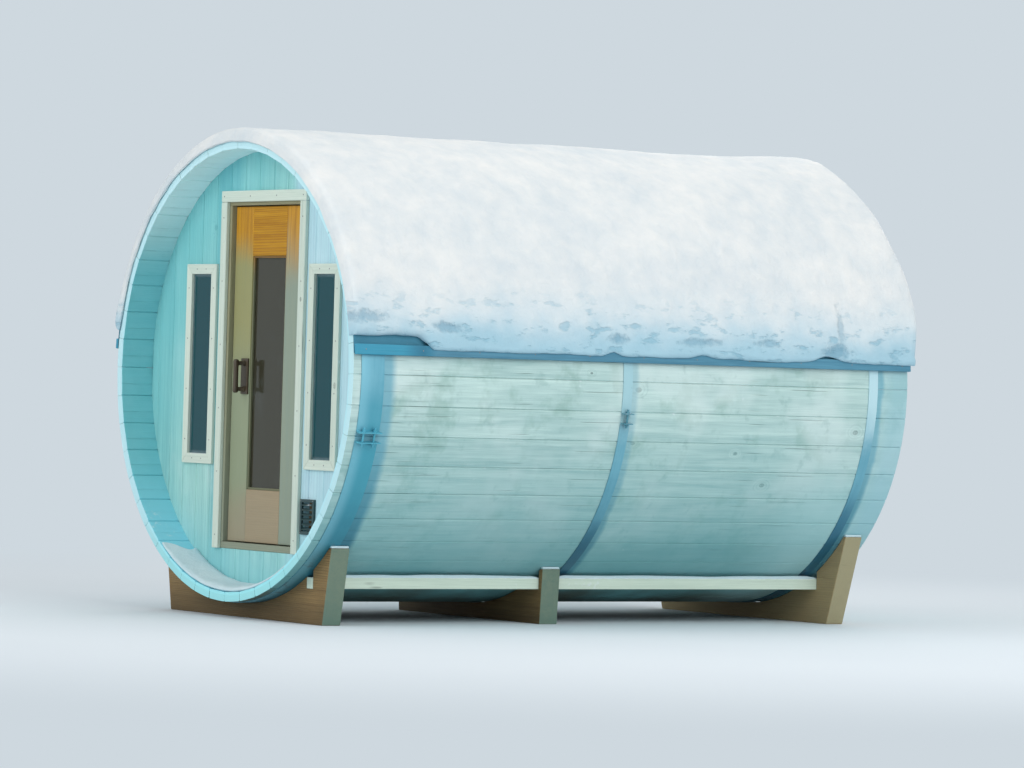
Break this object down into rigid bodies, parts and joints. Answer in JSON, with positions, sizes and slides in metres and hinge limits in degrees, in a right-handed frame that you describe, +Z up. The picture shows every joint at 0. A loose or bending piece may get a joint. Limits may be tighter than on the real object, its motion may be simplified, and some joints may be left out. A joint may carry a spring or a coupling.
{
  "type": "barrel sauna",
  "caption": "Barrel sauna of round staves held by steel bands, with a recessed end wall, a glazed hinged door, slim windows, a covered roof under settled snow and timber cradles.",
  "frame": {"origin": "on the ground under the middle of the barrel", "axes": "+Y along the barrel's axis towards its closed rear end, the door at -Y, +X to the right of a person who faces the door, +Z up"},
  "size_m": [2.1154, 3.03, 2.1716],
  "materials": {
    "stave_timber": "weathered silver grey",
    "wall_timber": "weathered silver grey",
    "trim_timber": "weathered, pale",
    "frame_timber": "oiled pine, worn",
    "door_timber": "oiled pine, worn",
    "handle_timber": "dark oiled wood",
    "cradle_timber": "damp brown timber",
    "rail_timber": "weathered timber",
    "floor_timber": "bare spruce",
    "roof_batten": "dark stained board",
    "roof_felt": "mineral roofing felt",
    "hoop_steel": "dull blue grey band",
    "hinge_steel": "satin",
    "window_pane": "dark tinted",
    "door_pane": "grey brown tinted",
    "snow": "settled snow, matte",
    "vent_plastic": "dark louvre"
  },
  "bodies": {
    "root": {"stave_wall_01": "stave_timber", "stave_wall_02": "stave_timber", "stave_wall_03": "stave_timber", "stave_wall_04": "stave_timber", "stave_wall_05": "stave_timber", "stave_wall_06": "stave_timber", "stave_wall_07": "stave_timber", "stave_wall_08": "stave_timber", "stave_wall_09": "stave_timber", "stave_wall_10": "stave_timber", "stave_wall_11": "stave_timber", "stave_wall_12": "stave_timber", "front_wall_left": "wall_timber", "front_wall_right": "wall_timber", "front_wall_over_door": "wall_timber", "front_wall_below_door": "wall_timber", "rear_wall": "wall_timber", "window_glass": "window_pane", "window_trims": "trim_timber", "vent_grille": "vent_plastic", "door_jamb_left": "frame_timber", "door_jamb_right": "frame_timber", "door_head": "frame_timber", "door_threshold": "frame_timber", "door_casing": "trim_timber", "hinge_frame_plates": "hinge_steel", "roof_covering": "roof_felt", "roof_edge_battens": "roof_batten", "roof_snow": "snow", "hoop_front": "hoop_steel", "hoop_middle": "hoop_steel", "hoop_rear": "hoop_steel", "cradle_front": "cradle_timber", "cradle_middle": "cradle_timber", "cradle_rear": "cradle_timber", "rail_left": "rail_timber", "rail_right": "rail_timber", "floor_deck": "floor_timber", "floor_bearers": "floor_timber"},
    "door": {"door_stile_left": "door_timber", "door_stile_right": "door_timber", "door_top_rail": "door_timber", "door_bottom_rail": "door_timber", "door_glass": "door_pane", "hinge_door_plates": "hinge_steel", "door_handles": "handle_timber"}
  },
  "joints": [
    {"name": "door_hinge", "type": "hinge", "parent": "root", "child": "door", "pos_m": [0.2925, -1.326, 1.08], "axis": [0, 0, 1], "range_deg": [0, 115]}
  ]
}
